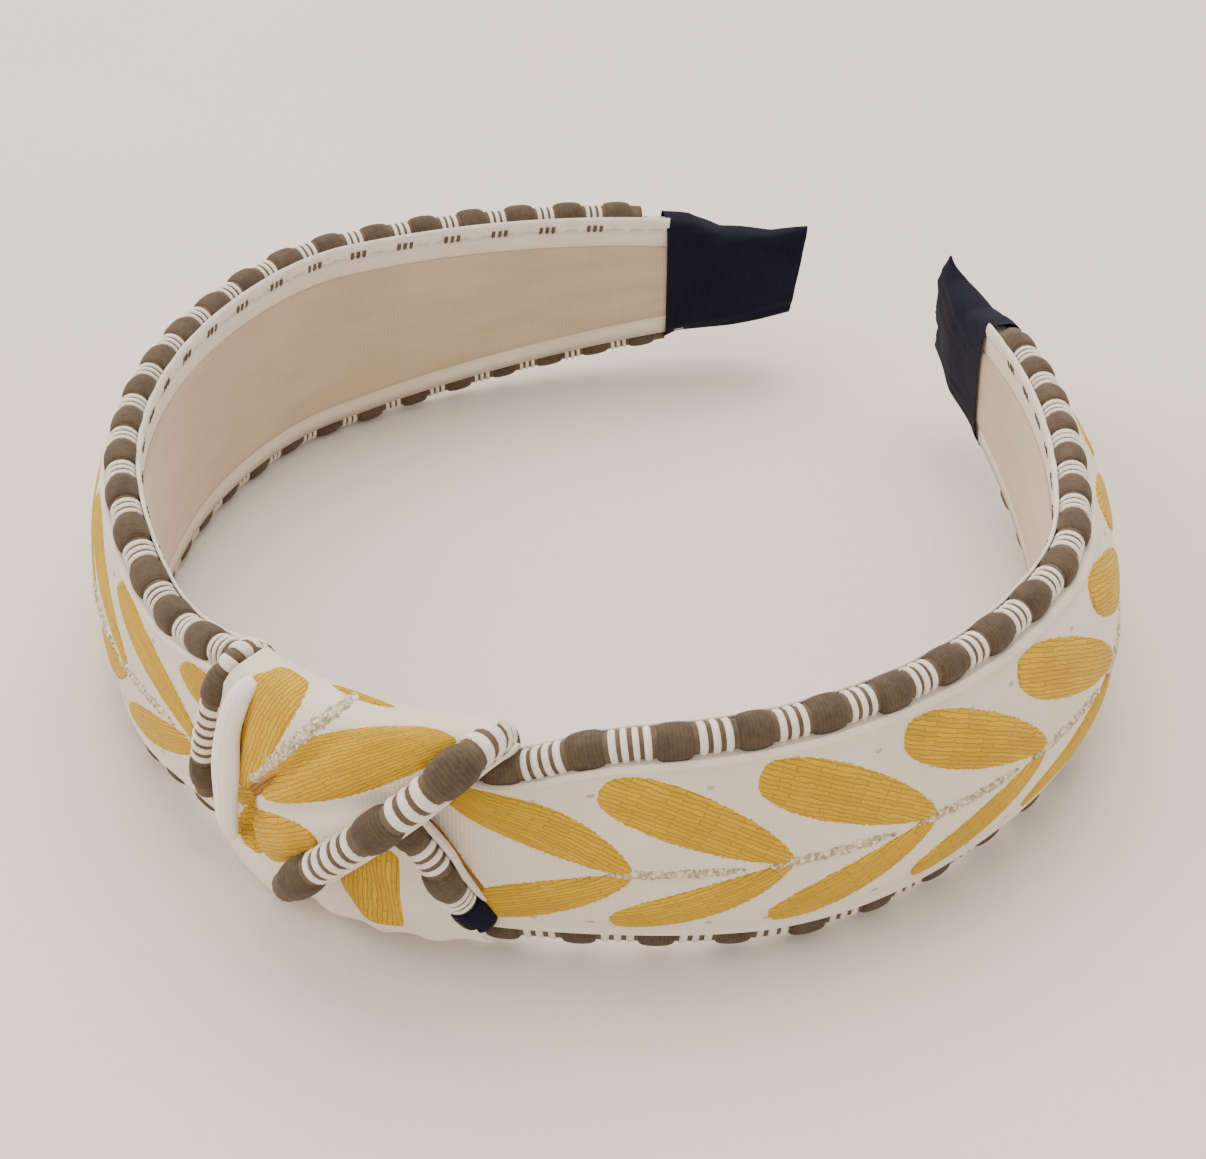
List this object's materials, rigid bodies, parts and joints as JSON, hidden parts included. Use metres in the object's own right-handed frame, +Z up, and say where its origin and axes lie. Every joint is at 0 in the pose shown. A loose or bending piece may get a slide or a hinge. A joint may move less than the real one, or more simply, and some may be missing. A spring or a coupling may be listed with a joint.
{
  "type": "knotted hair band",
  "caption": "Wide padded hair band with a crossed fabric knot at the crown, beaded edge trims, satin lining and ribbon tip covers; both arms flex open.",
  "frame": {"origin": "middle of the bounding box, on the surface that the band's lower edge rests on", "axes": "+Z up through the band's width as it lies on its edge, -Y towards the crown and knot, +Y towards the open tips, +X the right arm"},
  "size_m": [0.1392, 0.158, 0.0394],
  "materials": {
    "cover_linen": "plain-weave linen, matte",
    "leaf_thread": "satin-stitched mustard yarn",
    "stem_thread": "metallic thread with a fine glitter",
    "trim_cord": "wound white yarn, matte",
    "trim_bead": "dark brown, matte",
    "lining_satin": "beige satin ribbon, soft sheen",
    "tip_ribbon": "navy grosgrain ribbon",
    "hoop_plastic": "moulded, matte",
    "padding_foam": "open-cell sheet"
  },
  "bodies": {
    "crown": {"core_crown": "hoop_plastic", "foam_crown": "padding_foam", "cover_crown": "cover_linen", "lining_crown": "lining_satin", "upper_trim_crown_left": "trim_cord", "lower_trim_crown_left": "trim_cord", "upper_trim_crown_right": "trim_cord", "lower_trim_crown_right": "trim_cord", "knot_trim_left": "trim_cord", "knot_trim_diagonal": "trim_cord", "knot_trim_short": "trim_cord", "knot_fold": "cover_linen", "knot_tuck": "cover_linen", "knot_wrap": "cover_linen"},
    "left_arm": {"core_left_arm": "hoop_plastic", "foam_left_arm": "padding_foam", "cover_left_arm": "cover_linen", "lining_left_arm": "lining_satin", "upper_trim_left_arm": "trim_cord", "lower_trim_left_arm": "trim_cord", "tip_cover_left": "tip_ribbon"},
    "right_arm": {"core_right_arm": "hoop_plastic", "foam_right_arm": "padding_foam", "cover_right_arm": "cover_linen", "lining_right_arm": "lining_satin", "upper_trim_right_arm": "trim_cord", "lower_trim_right_arm": "trim_cord", "tip_cover_right": "tip_ribbon"}
  },
  "joints": [
    {"name": "left_arm_flex", "type": "hinge", "parent": "crown", "child": "left_arm", "pos_m": [-0.05682, -0.04059, 0.0181], "axis": [0, 0, 1], "range_deg": [-4, 25], "stiffness_Nm_per_rad": 2},
    {"name": "right_arm_flex", "type": "hinge", "parent": "crown", "child": "right_arm", "pos_m": [0.05682, -0.04059, 0.0181], "axis": [0, 0, -1], "range_deg": [-4, 25], "stiffness_Nm_per_rad": 2}
  ]
}
